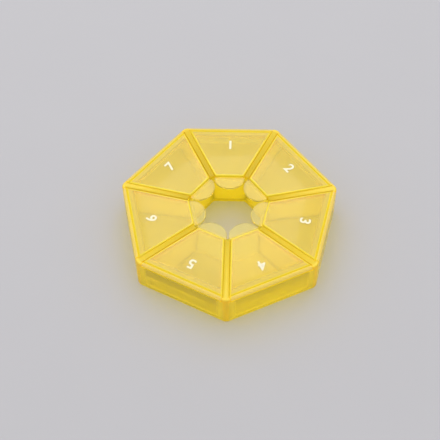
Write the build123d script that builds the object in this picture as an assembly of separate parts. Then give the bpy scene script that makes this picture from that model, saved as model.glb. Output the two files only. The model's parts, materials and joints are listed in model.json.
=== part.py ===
"""Seven-compartment weekly pill organizer: a heptagonal ring tray with seven hinged lids.

All sizes are in millimetres, +Z is up. The tray stands on z = 0 with the origin at the
middle of its footprint's bounding box. One flat side of the heptagon faces +Y and one
corner faces -Y. Every compartment is drawn in the same place, with its outer side
towards +Y and the ring's axis at the origin, and is then turned to its own place.
"""
from build123d import *
import math
import os

# ---- Tray ---------------------------------------------------------------------
COMPARTMENTS = 7
SIDE_LENGTH = 45.0          # one outer side, between the sharp corners
HEIGHT = 18.2               # table to the top of a closed lid
OUTER_WALL = 1.5
HUB_WALL = 1.4              # wall round the centre hole
DIVIDER = 2.5               # wall between two compartments
FLOOR = 1.2
HOLE_APOTHEM = 15.8         # ring's axis to a flat of the centre hole
CORNER_RADIUS = 3.2         # upright outer corners
HOLE_CORNER_RADIUS = 1.2
POCKET_CORNER_RADIUS = 1.5
BASE_EDGE_RADIUS = 0.7      # round the foot of the outer wall

# ---- Lid plate, skirt and thumb tab ---------------------------------------------
LID_THICKNESS = 1.2
LID_EDGE_RADIUS = 0.55
LID_CORNER_RADIUS = 0.8     # the plate's two corners next to the hole
LID_SIDE_GAP = 0.25         # lid plate to divider
LID_REST_GAP = 0.1          # thumb tab above the hub wall
PLATE_SETBACK = 0.2         # the plate stops this far outside the hub wall
DIVIDER_DROP = 0.15         # divider tops below the lids' top
SKIRT_THICKNESS = 0.9
SKIRT_DEPTH = 1.8           # below the lid plate
SKIRT_GAP = 0.35            # skirt to the compartment's walls
SKIRT_CORNER_RADIUS = 1.2
SWING_MARGIN = 0.1          # least gap of the skirt to a divider while the lid swings
TAB_WIDTH = 14.2
TAB_THICKNESS = 1.0
TAB_DROP = 1.15             # tab's top below the lid's top
TAB_OVERHANG = 4.95         # past the hole's wall
TAB_NOSE = 6.15             # length of the tab's rounded end
TAB_GAP = 0.3               # least, between two neighbouring tabs
TAB_EDGE_RADIUS = 0.3

# ---- Hinge ------------------------------------------------------------------------
BARREL_DIAMETER = 1.9
BARREL_CLEARANCE = 0.15     # barrel above the outer wall
BARREL_END_GAP = 0.25       # barrel's end to the corner post
PIN_DIAMETER = 0.9
PIN_LENGTH = 0.75           # inside the corner post
PIN_CLEARANCE = 0.05        # all round the pin
PIN_END_GAP = 0.15
GROOVE_WIDTH = 1.0          # between the lid plate and its barrel
GROOVE_DEPTH = 0.6

# ---- Worked out from the sizes above ---------------------------------------------
STEP_DEG = 360 / COMPARTMENTS
HALF_STEP = math.pi / COMPARTMENTS
APOTHEM = SIDE_LENGTH / (2 * math.tan(HALF_STEP))
CORNER_REACH = (APOTHEM + CORNER_RADIUS * (math.cos(HALF_STEP) - 1)) / math.cos(HALF_STEP)
AXIS_Y = (CORNER_REACH - APOTHEM) / 2       # ring's axis, from the footprint's middle

BARREL_RADIUS = BARREL_DIAMETER / 2
HINGE_Y = APOTHEM - BARREL_RADIUS
HINGE_Z = HEIGHT - BARREL_RADIUS
WALL_TOP = HINGE_Z - BARREL_RADIUS - BARREL_CLEARANCE
DIVIDER_TOP = HEIGHT - DIVIDER_DROP
RIM_RADIUS = BARREL_RADIUS - DIVIDER_DROP   # the corner posts carry on the barrels' curve
TAB_BOTTOM = HEIGHT - TAB_DROP - TAB_THICKNESS
HUB_TOP = TAB_BOTTOM - LID_REST_GAP
LID_UNDERSIDE = HEIGHT - LID_THICKNESS
SKIRT_BOTTOM = LID_UNDERSIDE - SKIRT_DEPTH

POCKET_INNER_Y = HOLE_APOTHEM + HUB_WALL
POCKET_OUTER_Y = APOTHEM - OUTER_WALL
PLATE_INNER_Y = POCKET_INNER_Y + PLATE_SETBACK
DIVIDER_FACE = DIVIDER / 2                  # from the middle line between two compartments
PLATE_EDGE = DIVIDER_FACE + LID_SIDE_GAP
SKIRT_FACE = DIVIDER_FACE + SKIRT_GAP
TAB_TIP_Y = HOLE_APOTHEM - TAB_OVERHANG
OVERRUN = 5.0                               # how far a cut runs past the face it opens


def half_width(y, distance):
    """Half the width of a compartment's wedge at y, kept a distance off both middle lines."""
    return y * math.tan(HALF_STEP) - distance / math.cos(HALF_STEP)


# The barrel is as long as the lid plate is wide beside it, so its flat ends clear the post.
BARREL_HALF = half_width(HINGE_Y - BARREL_RADIUS, PLATE_EDGE)
POST_X = BARREL_HALF + BARREL_END_GAP

# A corner of the skirt swings inwards, where the wedge is narrower, as its lid opens.
# The skirt starts far enough from the hinge for that inward travel to use up no more
# than its gap to the divider, less the margin.
SKIRT_DROP = HINGE_Z - SKIRT_BOTTOM
SKIRT_TRAVEL = (SKIRT_GAP - SWING_MARGIN) / math.sin(HALF_STEP)
SKIRT_OUTER_Y = HINGE_Y - (SKIRT_DROP**2 - SKIRT_TRAVEL**2) / (2 * SKIRT_TRAVEL)


def heptagon(apothem, corner_radius):
    """The ring's outline at an apothem, one flat side towards +Y, with rounded corners."""
    turn = 90 - math.degrees(HALF_STEP)
    outline = RegularPolygon(apothem, COMPARTMENTS, major_radius=False, rotation=turn)
    return fillet(outline.vertices(), corner_radius)


def wedge(y_inner, y_outer, distance):
    """A compartment's trapezoid between two y values, kept a distance off the middle lines."""
    inner = half_width(y_inner, distance)
    outer = half_width(y_outer, distance)
    corners = [(-inner, y_inner), (inner, y_inner), (outer, y_outer), (-outer, y_outer)]
    return Polygon(*corners, align=None)


def prism(outline, bottom, top):
    """An outline extruded from one height to another."""
    return extrude(Pos(0, 0, bottom) * outline, amount=top - bottom)


def hinge_rod(x_start, x_end, radius):
    """A round rod along the hinge's axis, between two x values."""
    middle = (x_start + x_end) / 2
    rod = Rot(0, 90, 0) * Cylinder(radius, x_end - x_start)
    return Pos(middle, HINGE_Y, HINGE_Z) * rod


def in_place(shape, number):
    """A shape drawn for compartment 0, turned clockwise to its own compartment."""
    return Pos(0, AXIS_Y, 0) * Rot(0, 0, -STEP_DEG * number) * shape


def ring_block():
    """The outer block, rounded at its foot and its rim, with the hole through its middle."""
    block = prism(heptagon(APOTHEM, CORNER_RADIUS), 0, DIVIDER_TOP)
    block = fillet(block.edges().group_by(Axis.Z)[-1], RIM_RADIUS)
    block = fillet(block.edges().group_by(Axis.Z)[0], BASE_EDGE_RADIUS)
    block -= prism(heptagon(HOLE_APOTHEM, HOLE_CORNER_RADIUS), -OVERRUN, HEIGHT + OVERRUN)
    # The hub wall and the dividers' inner ends stand lower, for the thumb tabs to pass over.
    tab_seat = heptagon(PLATE_INNER_Y + LID_SIDE_GAP, HOLE_CORNER_RADIUS)
    block -= prism(tab_seat, HUB_TOP, HEIGHT + OVERRUN)
    return block


def compartment_cut():
    """What one compartment, its lid's seat and its hinge take out of the ring."""
    pocket = wedge(POCKET_INNER_Y, POCKET_OUTER_Y, DIVIDER_FACE)
    cut = prism(fillet(pocket.vertices(), POCKET_CORNER_RADIUS), FLOOR, HEIGHT + OVERRUN)
    cut += prism(pocket, WALL_TOP, HEIGHT + OVERRUN)
    barrel_room = Pos(0, POCKET_OUTER_Y) * Rectangle(
        2 * POST_X, OUTER_WALL + OVERRUN, align=(Align.CENTER, Align.MIN)
    )
    cut += prism(barrel_room, WALL_TOP, HEIGHT + OVERRUN)
    socket_end = POST_X + PIN_LENGTH + PIN_END_GAP
    cut += hinge_rod(-socket_end, socket_end, PIN_DIAMETER / 2 + PIN_CLEARANCE)
    return cut


def make_tray():
    """The one-piece tray: floor, outer wall, dividers with their corner posts, hub wall."""
    tray = ring_block()
    for number in range(COMPARTMENTS):
        tray -= Rot(0, 0, -STEP_DEG * number) * compartment_cut()
    return Pos(0, AXIS_Y, 0) * tray


def lid_plate():
    """The flat plate, from beside the hub wall out to the middle of the barrel."""
    shoulder_y = HINGE_Y - BARREL_RADIUS
    inner = half_width(PLATE_INNER_Y, PLATE_EDGE)
    outline = Polygon(
        (-inner, PLATE_INNER_Y),
        (inner, PLATE_INNER_Y),
        (BARREL_HALF, shoulder_y),
        (BARREL_HALF, HINGE_Y),
        (-BARREL_HALF, HINGE_Y),
        (-BARREL_HALF, shoulder_y),
        align=None,
    )
    outline = fillet(outline.vertices().group_by(Axis.Y)[0], LID_CORNER_RADIUS)
    plate = prism(outline, LID_UNDERSIDE, HEIGHT)
    top_edges = plate.edges().group_by(Axis.Z)[-1]
    return fillet(top_edges.sort_by(Axis.Y)[:-3], LID_EDGE_RADIUS)


def lid_skirt():
    """The shallow wall under the plate that plugs the compartment."""
    outer = wedge(POCKET_INNER_Y + SKIRT_GAP, SKIRT_OUTER_Y, SKIRT_FACE)
    outer = fillet(outer.vertices(), SKIRT_CORNER_RADIUS)
    inner = wedge(
        POCKET_INNER_Y + SKIRT_GAP + SKIRT_THICKNESS,
        SKIRT_OUTER_Y - SKIRT_THICKNESS,
        SKIRT_FACE + SKIRT_THICKNESS,
    )
    inner = fillet(inner.vertices(), SKIRT_CORNER_RADIUS - SKIRT_THICKNESS)
    return prism(outer - inner, SKIRT_BOTTOM, LID_UNDERSIDE)


def lid_tab():
    """The thumb tab: a thin tongue over the hub wall, with an elliptical nose over the hole."""
    nose_y = TAB_TIP_Y + TAB_NOSE
    nose = Pos(0, nose_y) * Ellipse(TAB_WIDTH / 2, TAB_NOSE)
    root = half_width(PLATE_INNER_Y, PLATE_EDGE)
    band = Pos(0, nose_y) * Rectangle(
        2 * root, PLATE_INNER_Y - nose_y, align=(Align.CENTER, Align.MIN)
    )
    outline = nose & wedge(nose_y - TAB_NOSE, nose_y, TAB_GAP / 2)
    tab = prism(outline + band, TAB_BOTTOM, TAB_BOTTOM + TAB_THICKNESS)
    rim_edges = tab.edges().group_by(Axis.Z)[-1].sort_by(Axis.Y)[:-3]
    tab = fillet(rim_edges, TAB_EDGE_RADIUS)
    # Its root runs on into the skirt, which carries it.
    root_width = 2 * (half_width(POCKET_INNER_Y + SKIRT_GAP, SKIRT_FACE) - SKIRT_CORNER_RADIUS)
    root_length = SKIRT_GAP + SKIRT_THICKNESS / 2
    neck = Pos(0, POCKET_INNER_Y) * Rectangle(
        root_width, root_length, align=(Align.CENTER, Align.MIN)
    )
    return tab + prism(neck, TAB_BOTTOM, LID_UNDERSIDE)


def lid_hinge():
    """The barrel along the lid's outer edge, with a short pin at each end."""
    hinge = hinge_rod(-BARREL_HALF, BARREL_HALF, BARREL_RADIUS)
    pin_end = POST_X + PIN_LENGTH
    return hinge + hinge_rod(-pin_end, pin_end, PIN_DIAMETER / 2)


def lid_groove():
    """The V-shaped groove that sets the barrel off from the plate."""
    groove_y = HINGE_Y - BARREL_RADIUS
    section = Polygon(
        (groove_y - GROOVE_WIDTH, HEIGHT + GROOVE_DEPTH),
        (groove_y + GROOVE_WIDTH, HEIGHT + GROOVE_DEPTH),
        (groove_y, HEIGHT - GROOVE_DEPTH),
        align=None,
    )
    return extrude(Plane.YZ * section, amount=BARREL_HALF + OVERRUN, both=True)


def make_lid():
    """One lid, drawn closed on compartment 0."""
    return lid_plate() + lid_skirt() + lid_tab() + lid_hinge() - lid_groove()


def write_parts():
    """One file for the tray and one for each lid, numbered clockwise from the +Y side."""
    os.makedirs("parts", exist_ok=True)
    export_step(make_tray(), "parts/tray.step")
    lid = make_lid()
    for number in range(COMPARTMENTS):
        export_step(in_place(lid, number), f"parts/lid_{number + 1}.step")


write_parts()
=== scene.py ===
"""A seven-compartment weekly pill organizer: its looks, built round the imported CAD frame.

The tray and the seven lids are translucent yellow mouldings with softened edges, and each
lid carries a printed number. Lengths are in metres, in the same frame as the CAD.
"""
import json
import math

import bmesh
import bpy
from bpy.props import FloatProperty, FloatVectorProperty, PointerProperty
from mathutils import Matrix, Vector


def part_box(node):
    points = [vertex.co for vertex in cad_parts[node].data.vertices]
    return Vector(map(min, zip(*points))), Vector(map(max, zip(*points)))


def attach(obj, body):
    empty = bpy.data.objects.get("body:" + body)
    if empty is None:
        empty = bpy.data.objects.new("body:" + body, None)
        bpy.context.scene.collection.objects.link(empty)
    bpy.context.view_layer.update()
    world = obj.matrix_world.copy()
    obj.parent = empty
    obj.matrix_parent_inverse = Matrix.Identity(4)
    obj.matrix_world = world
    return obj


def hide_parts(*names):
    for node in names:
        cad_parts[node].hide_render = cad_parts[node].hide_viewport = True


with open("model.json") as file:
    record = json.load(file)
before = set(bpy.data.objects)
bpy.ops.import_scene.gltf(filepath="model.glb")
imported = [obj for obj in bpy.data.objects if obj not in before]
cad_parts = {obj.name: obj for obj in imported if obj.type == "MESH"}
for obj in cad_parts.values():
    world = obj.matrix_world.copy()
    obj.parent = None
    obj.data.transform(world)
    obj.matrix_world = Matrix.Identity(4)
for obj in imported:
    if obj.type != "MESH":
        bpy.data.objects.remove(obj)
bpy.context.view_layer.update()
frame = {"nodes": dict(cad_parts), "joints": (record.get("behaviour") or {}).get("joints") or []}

bl_info = {
    "name": "Weekly pill organizer",
    "version": (1, 0, 0),
    "blender": (4, 5, 0),
    "location": "3D View > Sidebar > Pill organizer",
    "description": "Tray, lids and printed numbers of a seven-compartment pill organizer",
    "category": "Object",
}

MM = 0.001
SAME_PLACE = 0.001 * MM    # points closer than this are one
SAME_HEIGHT = 0.01 * MM
FLAT = "flat"              # a lid's map: across it and outwards from the ring's axis

LIDS = sorted(name for name in frame["nodes"] if name.startswith("lid_"))
HINGES = {joint["child"]: Vector(joint["pos_m"]) for joint in frame["joints"]}
RING_CENTRE = sum(HINGES.values(), Vector()) / len(HINGES)
HALF_STEP = math.pi / len(LIDS)
LID_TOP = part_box(LIDS[0])[1].z
TRAY_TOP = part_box("tray")[1].z

# Where the mouldings change, in metres: each band is full at its second value and on from it.
TRAY_TOP_BAND = (2.2 * MM, 1.6 * MM)         # below the tray's top
TRAY_POST_BAND = (49.9 * MM, 50.4 * MM)      # from the ring's axis
TRAY_CORNER_BAND = (51.05 * MM, 51.35 * MM)  # from the ring's axis
TRAY_FLOOR_BAND = (2.0 * MM, 1.4 * MM)       # above the table
LID_PLATE_BAND = (17.1 * MM, 17.4 * MM)      # out from the axis, where the thumb tab ends
LID_SIDE_BAND = (2.6 * MM, 2.2 * MM)         # from the middle of the divider
LID_INNER_BAND = (18.5 * MM, 18.1 * MM)      # out from the axis
LID_GROOVE_SHADE_BAND = (43.9 * MM, 44.3 * MM)       # out from the axis, where the painted shade along the hinge groove starts
LID_GROOVE_SHADE_END = (45.6 * MM, 45.2 * MM)        # and where it ends
LID_SKIRT_BAND = (1.2 * MM, 1.4 * MM)        # below the lid's top
LID_RIM_HIGHLIGHT_BAND = (41.4 * MM, 42.8 * MM)     # out from the axis, next to the hinge, where the rim's colour and its painted highlight begin
POST_HAZE = 0.7                              # a post's haze, as a share of the floor's
SKIRT_SHARE = 0.35                           # how far the skirt shows the deep colour

PLASTIC_INDEX = 1.49                         # refractive index
FLOW_SIZE = 14 * MM                          # slow unevenness from the moulding
GRAIN_SIZE = 0.5 * MM                        # fine skin of the mould's polish
WAVE_SIZE = 5 * MM                           # long shallow waves of a shrinking wall
FLOW_TINT = (1.0, 0.95, 0.3)                 # the unevenness leans towards this colour,
TINT_SHARE = 0.10                            # by this share at most
BLUR_SPREAD = 0.25                           # the unevenness changes blur by up to this share
HAZE_SPREAD = 0.15                           # and haze by up to this one
WAVE_RELIEF = 0.12                           # shares of the skin's depth
GRAIN_RELIEF = 0.02
SKIN_DEPTH = 0.25 * MM
SKIN_STRENGTH = 0.25
MILKY_ROUGHNESS = 0.3                        # of the faces' scattering part
LEVEL_STOP = 0.8                             # share of light that a thick level face stops


# ---- Sizes and colours that a user would change --------------------------------------------

class EdgeSettings(bpy.types.PropertyGroup):
    """How far the mouldings' sharp edges are softened."""
    crown: FloatProperty(
        name="Divider crown", description="Radius along the tops of the dividers",
        default=0.45 * MM, min=0, unit="LENGTH")


class PlasticSettings(bpy.types.PropertyGroup):
    """The translucent plastic of the tray and the lids."""
    tray_body: FloatVectorProperty(
        name="Tray body", description="Colour that the tray's thin walls scatter",
        default=(1.0, 0.86, 0.055), min=0, max=1, size=3, subtype="COLOR")
    # The lids' thin plates: their own pale tint, and partly a painted sheen that pales them as
    # if they reflected the soft lamp.
    lid_body: FloatVectorProperty(
        name="Lid body", description="Colour that the lids' thin plates scatter",
        default=(0.91, 0.79, 0.46), min=0, max=1, size=3, subtype="COLOR")
    # The rim's colour next to the hinges, partly a painted highlight of the rounded hinge.
    lid_rim: FloatVectorProperty(
        name="Lid rim", description="Colour that the lids scatter next to their hinges",
        default=(0.95, 0.815, 0.25), min=0, max=1, size=3, subtype="COLOR")
    tray_deep: FloatVectorProperty(
        name="Tray deep", description="Colour that the tray's thick plastic scatters",
        default=(0.98, 0.73, 0.03), min=0, max=1, size=3, subtype="COLOR")
    # The lids' deep colour: their thick plastic, and also the painted shade along the hinge
    # groove.
    lid_deep: FloatVectorProperty(
        name="Lid deep", description="Colour that the lids' thick plastic scatters",
        default=(0.91, 0.745, 0.03), min=0, max=1, size=3, subtype="COLOR")
    clear_tint: FloatVectorProperty(
        name="Clear tint", description="Colour of light that goes straight through a face",
        default=(1.0, 0.985, 0.88), min=0, max=1, size=3, subtype="COLOR")
    dye: FloatVectorProperty(
        name="Dye", description="Colour that light takes on inside the plastic",
        default=(1.0, 0.988, 0.0), min=0, max=1, size=3, subtype="COLOR")
    dye_density: FloatProperty(
        name="Dye density", description="How fast light takes on the dye's colour, per metre",
        default=450.0, min=0)
    tray_haze: FloatProperty(
        name="Tray haze", description="Share of light that the tray's walls scatter",
        default=0.36, min=0, max=1, subtype="FACTOR")
    floor_haze: FloatProperty(
        name="Floor haze", description="The same share in the tray's floor",
        default=0.85, min=0, max=1, subtype="FACTOR")
    lid_haze: FloatProperty(
        name="Lid haze", description="The same share in the lids' plates",
        default=0.22, min=0, max=1, subtype="FACTOR")
    # A hazier, brighter band next to the hinges: partly a painted highlight of the rounded
    # hinge.
    border_haze: FloatProperty(
        name="Border haze", description="The same share next to the lids' hinges",
        default=0.70, min=0, max=1, subtype="FACTOR")
    deep_haze: FloatProperty(
        name="Deep haze", description="The same share where the plastic is thick",
        default=0.9, min=0, max=1, subtype="FACTOR")
    lid_edge: FloatProperty(
        name="Lid edge", description="How far the lids' borders show the deep colour",
        default=1.0, min=0, max=1, subtype="FACTOR")
    through: FloatProperty(
        name="Through", description="Share of the scattered light that goes on through a face",
        default=0.42, min=0, max=1, subtype="FACTOR")
    blur: FloatProperty(
        name="Blur", description="Roughness of the faces that light passes through",
        default=0.10, min=0, max=1, subtype="FACTOR")
    shade: FloatVectorProperty(
        name="Shade tint", description="Colour of the lamps' light after one face",
        default=(0.97, 0.945, 0.68), min=0, max=1, size=3, subtype="COLOR")


class NumberSettings(bpy.types.PropertyGroup):
    """The number printed on each lid."""
    height: FloatProperty(
        name="Height", description="Height of a figure",
        default=5.2 * MM, min=0.1 * MM, unit="LENGTH")
    radius: FloatProperty(
        name="Distance out", description="Ring's axis to the middle of a figure",
        default=36.2 * MM, min=0, unit="LENGTH")
    ink: FloatVectorProperty(
        name="Ink", description="Colour of the printed figures",
        default=(0.90, 0.86, 0.62), min=0, max=1, size=3, subtype="COLOR")


class StageSettings(bpy.types.PropertyGroup):
    """The table, the lamp and the camera."""
    table: FloatVectorProperty(
        name="Table", description="Colour of the table and the room",
        default=(0.52, 0.512, 0.534), min=0, max=1, size=3, subtype="COLOR")
    lamp_power: FloatProperty(
        name="Lamp power", description="Power of the soft lamp, in watts",
        default=9.6, min=0)
    lamp_size: FloatProperty(
        name="Lamp size", description="Side of the soft lamp",
        default=1.7, min=0.05, unit="LENGTH")
    room_light: FloatProperty(
        name="Room light", description="Strength of the even light from all round",
        default=0.80, min=0)


# ---- Shader helpers -----------------------------------------------------------------------

class Value:
    """A number on a surface. Arithmetic on it adds the Math nodes that work it out."""

    def __init__(self, finish, socket):
        self.finish = finish
        self.socket = socket

    def _math(self, operation, first, second):
        made = self.finish.node(
            "ShaderNodeMath", {"operation": operation}, {0: first, 1: second})
        return Value(self.finish, made.outputs[0])

    def __add__(self, other):
        return self._math("ADD", self, other)

    def __radd__(self, other):
        return self._math("ADD", other, self)

    def __sub__(self, other):
        return self._math("SUBTRACT", self, other)

    def __rsub__(self, other):
        return self._math("SUBTRACT", other, self)

    def __mul__(self, other):
        return self._math("MULTIPLY", self, other)

    def __rmul__(self, other):
        return self._math("MULTIPLY", other, self)

    def __abs__(self):
        return self._math("ABSOLUTE", self, 0.0)

    def clamped(self):
        """The number kept between 0 and 1."""
        made = self.finish.node("ShaderNodeClamp", None, {0: self})
        return Value(self.finish, made.outputs[0])

    def about_one(self, spread):
        """Noise as a factor that lies up to a spread under or over 1."""
        return self * (2 * spread) + (1 - spread)

    def ramp(self, start, end):
        """0 up to the start, 1 from the end on, and even between them."""
        return ((self - start) * (1 / (end - start))).clamped()


class Finish:
    """A material in the making."""

    def __init__(self, name):
        self.material = bpy.data.materials.new(name)
        self.material.use_nodes = True
        self.tree = self.material.node_tree
        self.tree.nodes.clear()
        self.output = self.node("ShaderNodeOutputMaterial")

    def node(self, kind, settings=None, inputs=None):
        """A node with its settings made first, then the values or links of its sockets."""
        made = self.tree.nodes.new(kind)
        for key, setting in (settings or {}).items():
            setattr(made, key, setting)
        for key, given in (inputs or {}).items():
            socket = given.socket if isinstance(given, Value) else given
            if isinstance(socket, bpy.types.NodeSocket):
                self.tree.links.new(socket, made.inputs[key])
            elif isinstance(socket, (tuple, list)) and made.inputs[key].type == "RGBA":
                made.inputs[key].default_value = (*socket[:3], 1)
            else:
                made.inputs[key].default_value = socket
        return made

    def place(self):
        """The place on the piece, in metres."""
        return self.node("ShaderNodeTexCoord").outputs["Object"]

    def level(self):
        """1 where the face is level, 0 where it is upright."""
        return abs(self.parts(self.node("ShaderNodeTexCoord").outputs["Normal"])[2])

    def parts(self, vector):
        """The three parts of a vector."""
        made = self.node("ShaderNodeSeparateXYZ", None, {0: vector})
        return [Value(self, socket) for socket in made.outputs]

    def noise(self, size, detail=2.0):
        """Soft noise from 0 to 1 whose lumps are about a size across, in metres."""
        inputs = {"Vector": self.place(), "Scale": 1 / size, "Detail": detail}
        return Value(self, self.node("ShaderNodeTexNoise", None, inputs).outputs[0])

    def blend(self, factor, first, second):
        """Two colours mixed by a factor."""
        made = self.node(
            "ShaderNodeMix", {"data_type": "RGBA"}, {0: factor, 6: first, 7: second})
        return made.outputs[2]

    def mixed(self, factor, first, second):
        """Two shaders mixed by a factor."""
        made = self.node("ShaderNodeMixShader", None, {0: factor, 1: first, 2: second})
        return made.outputs[0]

    def bump(self, height, strength, distance):
        """A normal that follows a height."""
        inputs = {"Height": height, "Strength": strength, "Distance": distance}
        return self.node("ShaderNodeBump", None, inputs).outputs[0]

    def finish(self, surface, volume=None):
        self.tree.links.new(surface, self.output.inputs["Surface"])
        if volume:
            self.tree.links.new(volume, self.output.inputs["Volume"])
        return self.material


def shaded(colour, factor):
    """A colour made darker or lighter."""
    return tuple(min(1.0, part * factor) for part in colour)


def translucent(finish, body, glow, deep, thick, haze, settings):
    """Translucent moulded plastic: clear and dyed inside, with faces that scatter some light.

    Body is the colour of a thin wall, on the lids partly a painted sheen and a painted
    highlight, and glow the colour of light that it lets through.
    Where thick is 1, both have the deep colour, which on the lids also paints the shade along
    the hinge groove, and a level face lets little light through.
    """
    flow = finish.noise(FLOW_SIZE, detail=3)
    grain = finish.noise(GRAIN_SIZE)
    wave = finish.noise(WAVE_SIZE, detail=1)
    relief = wave * WAVE_RELIEF + grain * GRAIN_RELIEF
    skin = finish.bump(relief, SKIN_STRENGTH, SKIN_DEPTH)
    roughness = settings.blur * flow.about_one(BLUR_SPREAD) + grain * 0.03
    colour = finish.blend(thick, body, deep)
    colour = finish.blend(flow * TINT_SHARE, colour, FLOW_TINT)
    clear = finish.node("ShaderNodeBsdfPrincipled", None, {
        "Base Color": tuple(settings.clear_tint), "Roughness": roughness,
        "IOR": PLASTIC_INDEX, "Transmission Weight": 1.0, "Normal": skin})
    scatter = finish.node("ShaderNodeBsdfPrincipled", None, {
        "Base Color": colour, "Roughness": MILKY_ROUGHNESS + grain * 0.05,
        "IOR": PLASTIC_INDEX, "Normal": skin})
    thin_glow, deep_glow = (
        finish.node("ShaderNodeBsdfTranslucent", None, {"Color": one, "Normal": skin})
        for one in (glow, deep))
    through = finish.mixed(thick, thin_glow.outputs[0], deep_glow.outputs[0])
    passing = settings.through * (1 - thick * finish.level() * LEVEL_STOP)
    milky = finish.mixed(passing, scatter.outputs[0], through)
    share = haze + thick * (settings.deep_haze - haze)
    plastic = finish.mixed(share * flow.about_one(HAZE_SPREAD), clear.outputs[0], milky)
    # The lamps shine straight through, dyed, where a bent ray would hardly ever find them.
    lit = finish.node("ShaderNodeBsdfTransparent", None, {"Color": tuple(settings.shade)})
    ray = finish.node("ShaderNodeLightPath").outputs["Is Shadow Ray"]
    dyed = finish.node("ShaderNodeVolumeAbsorption", None, {
        "Color": tuple(settings.dye), "Density": settings.dye_density})
    return finish.finish(finish.mixed(ray, plastic, lit.outputs[0]), dyed.outputs[0])


def tray_plastic(settings):
    """The tray's plastic, thick along the tops of its walls and in its corner posts."""
    finish = Finish("tray_yellow_plastic")
    x, y, z = finish.parts(finish.place())
    top = z.ramp(*(TRAY_TOP - down for down in TRAY_TOP_BAND))
    x, y = x - RING_CENTRE.x, y - RING_CENTRE.y
    from_axis = x * x + y * y                        # squared
    post = from_axis.ramp(*(reach ** 2 for reach in TRAY_POST_BAND))
    corner = from_axis.ramp(*(reach ** 2 for reach in TRAY_CORNER_BAND))
    floor = z.ramp(*TRAY_FLOOR_BAND)
    solid = (floor + post * POST_HAZE).clamped()
    haze = settings.tray_haze + solid * (settings.floor_haze - settings.tray_haze)
    thick = (top + corner).clamped()
    body = tuple(settings.tray_body)
    return translucent(finish, body, body, tuple(settings.tray_deep), thick, haze, settings)


def lid_plastic(settings):
    """The lids' plastic: deep over the skirt, with painted shade in the hinge groove, a painted
    highlight on the rim next to it and a painted sheen on the plates.
    """
    finish = Finish("lid_yellow_plastic")
    across, out, _ = finish.parts(finish.node("ShaderNodeUVMap", {"uv_map": FLAT}).outputs[0])
    high = finish.parts(finish.place())[2]
    from_divider = out * math.sin(HALF_STEP) - abs(across) * math.cos(HALF_STEP)
    plate = out.ramp(*LID_PLATE_BAND)
    side = from_divider.ramp(*LID_SIDE_BAND)
    inner = out.ramp(*LID_INNER_BAND)
    # A deep-coloured strip along the hinge groove: painted shade, as if its slopes reflected
    # none of the soft lamp.
    groove_shade = out.ramp(*LID_GROOVE_SHADE_BAND) * out.ramp(*LID_GROOVE_SHADE_END)
    skirt = high.ramp(*(LID_TOP - down for down in LID_SKIRT_BAND))
    # The deep mask: the thick skirt and the plate's edges over it, and the painted shade along
    # the hinge groove.
    thick = (side + inner + groove_shade + skirt * SKIRT_SHARE).clamped() * plate * settings.lid_edge
    # Next to the hinge the lids take a brighter, hazier rim colour: partly the rim's own colour,
    # partly a painted highlight of the rounded hinge.
    rim_and_highlight = out.ramp(*LID_RIM_HIGHLIGHT_BAND)
    haze = settings.lid_haze + rim_and_highlight * (settings.border_haze - settings.lid_haze)
    # The plates' colour is partly a painted sheen, and next to the hinge partly a painted
    # highlight.
    body = finish.blend(rim_and_highlight, tuple(settings.lid_body), tuple(settings.lid_rim))
    return translucent(
        finish, body, tuple(settings.lid_body), tuple(settings.lid_deep), thick, haze, settings)


def printed_ink(name, colour):
    """Opaque printed ink, a little uneven where the pad left it thinner."""
    finish = Finish(name)
    patch = finish.noise(0.6 * MM, detail=3)
    skin = finish.bump(finish.noise(0.12 * MM), 0.2, 0.02 * MM)
    ink = finish.node("ShaderNodeBsdfPrincipled", None, {
        "Base Color": finish.blend(patch, shaded(colour, 0.95), shaded(colour, 1.04)),
        "Roughness": 0.42 + patch * 0.12, "Normal": skin})
    return finish.finish(ink.outputs[0])


def matt_paper(name, colour):
    """The plain matt sheet on the table."""
    finish = Finish(name)
    patch = finish.noise(40 * MM, detail=2)
    paper = finish.node("ShaderNodeBsdfPrincipled", None, {
        "Base Color": finish.blend(patch, shaded(colour, 0.99), shaded(colour, 1.01)),
        "Roughness": 0.85})
    return finish.finish(paper.outputs[0])


# ---- Making pieces --------------------------------------------------------------------------

def add_piece(name, mesh, material):
    """A piece at the origin, its place in its mesh."""
    piece = bpy.data.objects.new(name, mesh)
    bpy.context.scene.collection.objects.link(piece)
    mesh.materials.clear()
    mesh.materials.append(material)
    return piece


def smooth(mesh, sharp_angle=math.radians(32)):
    """Shades a mesh smooth but for its sharp edges."""
    for face in mesh.polygons:
        face.use_smooth = True
    mesh.set_sharp_from_angle(angle=sharp_angle)


def merged_copy(node):
    """A copy of a CAD node's mesh, closed and with its flat faces whole."""
    shape = bmesh.new()
    shape.from_mesh(frame["nodes"][node].data)
    bmesh.ops.remove_doubles(shape, verts=shape.verts, dist=SAME_PLACE)
    bmesh.ops.dissolve_limit(
        shape, angle_limit=math.radians(1), verts=shape.verts, edges=shape.edges)
    return shape


def soften(shape, edges, radius, segments):
    """Rounds some edges of a shape."""
    bmesh.ops.bevel(
        shape, geom=edges, offset=radius, offset_type="OFFSET", segments=segments,
        profile=0.5, affect="EDGES", clamp_overlap=False, material=-1)


def finished_mesh(shape, name):
    mesh = bpy.data.meshes.new(name)
    shape.to_mesh(mesh)
    shape.free()
    smooth(mesh)
    return mesh


def lies_at(edge, height):
    return all(abs(vertex.co.z - height) < SAME_HEIGHT for vertex in edge.verts)


def directions(node):
    """A lid's directions at rest, across it and outwards."""
    out = HINGES[node] - RING_CENTRE
    out.z = 0
    out.normalize()
    return out.cross(Vector((0, 0, 1))), out


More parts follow.
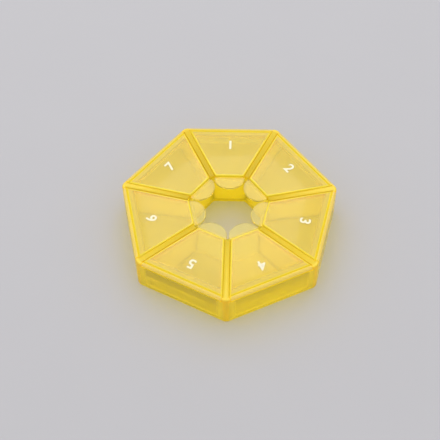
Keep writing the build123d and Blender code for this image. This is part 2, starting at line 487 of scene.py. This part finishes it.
def map_flat(mesh, node):
    """Gives a lid its flat map."""
    across, out = directions(node)
    layer = mesh.uv_layers.new(name=FLAT)
    for loop in mesh.loops:
        place = mesh.vertices[loop.vertex_index].co - RING_CENTRE
        layer.data[loop.index].uv = (place.dot(across), place.dot(out))


class PILLBOX_OT_tray(bpy.types.Operator):
    """Make the tray, with rounded divider tops"""
    bl_idname = "pillbox.tray"
    bl_label = "Make the tray"

    CROWN_LENGTH = 20 * MM           # only the dividers' top edges are longer than this

    def execute(self, context):
        shape = merged_copy("tray")
        crowns = [edge for edge in shape.edges
                  if lies_at(edge, TRAY_TOP) and edge.calc_length() > self.CROWN_LENGTH]
        soften(shape, crowns, context.scene.pillbox_edges.crown, 5)
        material = tray_plastic(context.scene.pillbox_plastic)
        tray = add_piece("tray_moulding", finished_mesh(shape, "tray_moulding"), material)
        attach(tray, "tray")
        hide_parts("tray")
        return {"FINISHED"}


class PILLBOX_OT_lids(bpy.types.Operator):
    """Make the seven lids"""
    bl_idname = "pillbox.lids"
    bl_label = "Make the lids"

    def execute(self, context):
        material = lid_plastic(context.scene.pillbox_plastic)
        for node in LIDS:
            shape = merged_copy(node)
            name = node + "_moulding"
            mesh = finished_mesh(shape, name)
            map_flat(mesh, node)
            lid = add_piece(name, mesh, material)
            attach(lid, node)
            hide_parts(node)
        return {"FINISHED"}


class PILLBOX_OT_numbers(bpy.types.Operator):
    """Print a number on each lid"""
    bl_idname = "pillbox.numbers"
    bl_label = "Print the numbers"

    THICKNESS = 0.03 * MM
    SINK = 0.01 * MM
    BOLD = 0.025                     # how far the strokes are widened, as a share of the type
    NO_AREA = 1e-6 * MM * MM         # a face of three points in a line

    def figure(self, text, height):
        """A bold figure as a closed mesh, its middle at the origin and its top towards +Y."""
        curve = bpy.data.curves.new("figure", "FONT")
        curve.body = text
        curve.align_x = "CENTER"
        curve.offset = self.BOLD
        curve.extrude = 0.5
        curve.resolution_u = 8
        outline = bpy.data.objects.new("figure", curve)
        bpy.context.scene.collection.objects.link(outline)
        bpy.context.view_layer.update()
        mesh = bpy.data.meshes.new_from_object(
            outline.evaluated_get(bpy.context.evaluated_depsgraph_get()))
        bpy.data.objects.remove(outline)
        bpy.data.curves.remove(curve)
        corners = [vertex.co for vertex in mesh.vertices]
        low = Vector(map(min, *corners))
        high = Vector(map(max, *corners))
        scale = height / (high.y - low.y)
        mesh.transform(Matrix.Translation(-(low + high) / 2))
        mesh.transform(Matrix.Diagonal((scale, scale, self.THICKNESS, 1)))
        shape = bmesh.new()
        shape.from_mesh(mesh)
        bmesh.ops.remove_doubles(shape, verts=shape.verts, dist=SAME_PLACE)
        for flat in [face for face in shape.faces if face.calc_area() < self.NO_AREA]:
            longest = max(flat.edges, key=bmesh.types.BMEdge.calc_length)
            bmesh.ops.rotate_edges(shape, edges=[longest])
        bmesh.ops.recalc_face_normals(shape, faces=shape.faces)
        shape.to_mesh(mesh)
        shape.free()
        return mesh

    def execute(self, context):
        settings = context.scene.pillbox_numbers
        ink = printed_ink("number_white_ink", tuple(settings.ink))
        for count, node in enumerate(LIDS, start=1):
            across, out = directions(node)
            middle = RING_CENTRE + out * settings.radius
            middle.z = LID_TOP + self.THICKNESS / 2 - self.SINK
            mesh = self.figure(str(count), settings.height)
            turn = Matrix((across, out, Vector((0, 0, 1)))).transposed().to_4x4()
            mesh.transform(Matrix.Translation(middle) @ turn)
            number = add_piece(f"number_{count}", mesh, ink)
            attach(number, node)
        return {"FINISHED"}


class PILLBOX_OT_stage(bpy.types.Operator):
    """Set the table, the lamp, the room and the camera"""
    bl_idname = "pillbox.stage"
    bl_label = "Set the stage"

    # The camera, as it was fitted to the ring's corners in the photograph.
    PHOTO_SIDE = 440                                   # pixels
    FOCAL = 1048.6                                     # pixels
    SENSOR = 36.0
    DISTANCE = 486.0 * MM
    ELEVATION = math.radians(54.6)
    AZIMUTH = math.radians(2.45)
    ROLL = math.radians(-1.01)
    OFF_CENTRE = (8.59, -13.36)                        # pixels, right and down
    AIM_HEIGHT = 17.24 * MM

    TABLE_SIDE = 6.0
    LAMP_PLACE = Vector((-0.10, 0.52, 1.18))
    LOW_LIGHT = (0.80, 0.80, 0.81)                     # the room near the table, 1 overhead
    BOUNCES = 24                                       # enough for light to leave the plastic
    THROUGH_FACES = 32
    DULL_BOUNCES = 16

    def make_camera(self, context):
        """The camera at the photograph's place."""
        flat = math.cos(self.ELEVATION)
        back = Vector((math.sin(self.AZIMUTH) * flat, -math.cos(self.AZIMUTH) * flat,
                       math.sin(self.ELEVATION)))
        level = (-back).cross(Vector((0, 0, 1))).normalized()
        upward = level.cross(-back)
        right = level * math.cos(self.ROLL) + upward * math.sin(self.ROLL)
        up = upward * math.cos(self.ROLL) - level * math.sin(self.ROLL)
        metres_per_pixel = self.DISTANCE / self.FOCAL
        aim = Vector((RING_CENTRE.x, RING_CENTRE.y, self.AIM_HEIGHT))
        place = (aim + back * self.DISTANCE - right * self.OFF_CENTRE[0] * metres_per_pixel
                 + up * self.OFF_CENTRE[1] * metres_per_pixel)
        data = bpy.data.cameras.new("camera")
        data.sensor_width = self.SENSOR
        data.lens = self.SENSOR * self.FOCAL / self.PHOTO_SIDE
        data.clip_start = 0.01
        camera = bpy.data.objects.new("camera", data)
        context.scene.collection.objects.link(camera)
        turn = Matrix((right, up, back)).transposed().to_4x4()
        camera.matrix_world = Matrix.Translation(place) @ turn
        context.scene.camera = camera

    def make_table(self, settings):
        shape = bmesh.new()
        bmesh.ops.create_grid(shape, x_segments=1, y_segments=1, size=self.TABLE_SIDE / 2)
        mesh = bpy.data.meshes.new("table")
        shape.to_mesh(mesh)
        shape.free()
        table = add_piece("table", mesh, matt_paper("table_matt_paper", tuple(settings.table)))

    def make_lamp(self, context, settings):
        data = bpy.data.lights.new("soft_lamp", "AREA")
        data.shape = "SQUARE"
        data.size = settings.lamp_size
        data.energy = settings.lamp_power
        lamp = bpy.data.objects.new("soft_lamp", data)
        context.scene.collection.objects.link(lamp)
        lamp.location = self.LAMP_PLACE
        lamp.rotation_euler = (-self.LAMP_PLACE).to_track_quat("-Z", "Y").to_euler()

    def make_room(self, context, settings):
        world = bpy.data.worlds.new("room")
        world.use_nodes = True
        nodes = world.node_tree.nodes
        links = world.node_tree.links
        direction = nodes.new("ShaderNodeTexCoord")
        parts = nodes.new("ShaderNodeSeparateXYZ")
        links.new(direction.outputs["Generated"], parts.inputs[0])
        overhead = nodes.new("ShaderNodeMix")
        overhead.data_type = "RGBA"
        links.new(parts.outputs["Z"], overhead.inputs[0])
        overhead.inputs[6].default_value = (*self.LOW_LIGHT, 1)
        overhead.inputs[7].default_value = (1, 1, 1, 1)
        background = nodes["Background"]
        links.new(overhead.outputs[2], background.inputs["Color"])
        background.inputs["Strength"].default_value = settings.room_light
        context.scene.world = world

    def execute(self, context):
        settings = context.scene.pillbox_stage
        self.make_camera(context)
        self.make_table(settings)
        self.make_lamp(context, settings)
        self.make_room(context, settings)
        context.scene.view_settings.view_transform = "Standard"
        cycles = context.scene.cycles
        cycles.max_bounces = cycles.transmission_bounces = self.BOUNCES
        cycles.transparent_max_bounces = self.THROUGH_FACES
        cycles.diffuse_bounces = cycles.glossy_bounces = self.DULL_BOUNCES
        return {"FINISHED"}


class PILLBOX_PT_panel(bpy.types.Panel):
    """Lists the organizer's settings and makes its pieces"""
    bl_idname = "PILLBOX_PT_panel"
    bl_label = "Pill organizer"
    bl_space_type = "VIEW_3D"
    bl_region_type = "UI"
    bl_category = "Pill organizer"

    def draw(self, context):
        for title, name, operators in SECTIONS:
            box = self.layout.box()
            box.label(text=title)
            settings = getattr(context.scene, name)
            for key in settings.__annotations__:
                box.prop(settings, key)
            for operator in operators:
                box.operator(operator)


SECTIONS = (
    ("Edges", "pillbox_edges", ()),
    ("Plastic", "pillbox_plastic", ("pillbox.tray", "pillbox.lids")),
    ("Numbers", "pillbox_numbers", ("pillbox.numbers",)),
    ("Stage", "pillbox_stage", ("pillbox.stage",)),
)
SETTINGS = {
    "pillbox_edges": EdgeSettings,
    "pillbox_plastic": PlasticSettings,
    "pillbox_numbers": NumberSettings,
    "pillbox_stage": StageSettings,
}
CLASSES = (*SETTINGS.values(), PILLBOX_OT_tray, PILLBOX_OT_lids, PILLBOX_OT_numbers,
           PILLBOX_OT_stage, PILLBOX_PT_panel)


def register():
    for one in CLASSES:
        bpy.utils.register_class(one)
    for name, group in SETTINGS.items():
        setattr(bpy.types.Scene, name, PointerProperty(type=group))


def unregister():
    for name in SETTINGS:
        delattr(bpy.types.Scene, name)
    for one in reversed(CLASSES):
        bpy.utils.unregister_class(one)


def main():
    register()
    bpy.ops.pillbox.stage()
    bpy.ops.pillbox.tray()
    bpy.ops.pillbox.lids()
    bpy.ops.pillbox.numbers()


if __name__ == "__main__":
    main()
